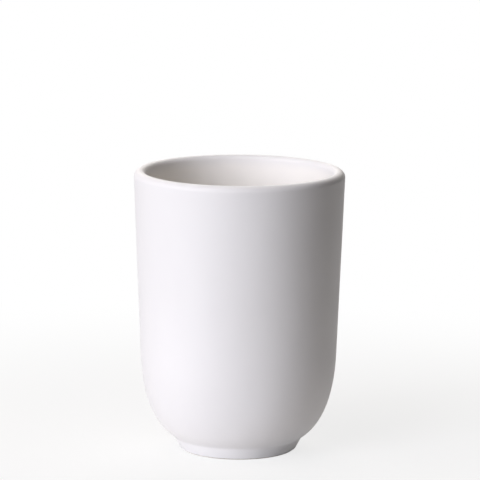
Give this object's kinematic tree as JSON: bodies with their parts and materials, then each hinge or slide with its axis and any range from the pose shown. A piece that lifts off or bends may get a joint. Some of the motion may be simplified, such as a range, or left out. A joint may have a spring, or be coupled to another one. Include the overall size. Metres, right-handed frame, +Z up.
{
  "type": "yunomi tea cup",
  "caption": "Tall handleless tea cup in satin white glaze: almost straight wall, soft rounded lip, round shoulder and a small foot ring that leans inwards.",
  "frame": {"origin": "on the table, under the middle of the foot ring", "axes": "+Z up along the turning axis, from the foot to the lip; the cup is round, so +X and +Y are any two directions square to it"},
  "size_m": [0.0744, 0.0744, 0.1],
  "materials": {
    "fired_clay": "bare fired white stoneware, matt, fine grain",
    "white_glaze": "opaque white glaze, satin"
  },
  "bodies": {
    "root": {"cup_body": "fired_clay", "foot_ring": "fired_clay", "outside_glaze": "white_glaze", "inside_glaze": "white_glaze", "foot_recess_glaze": "white_glaze"}
  },
  "joints": []
}
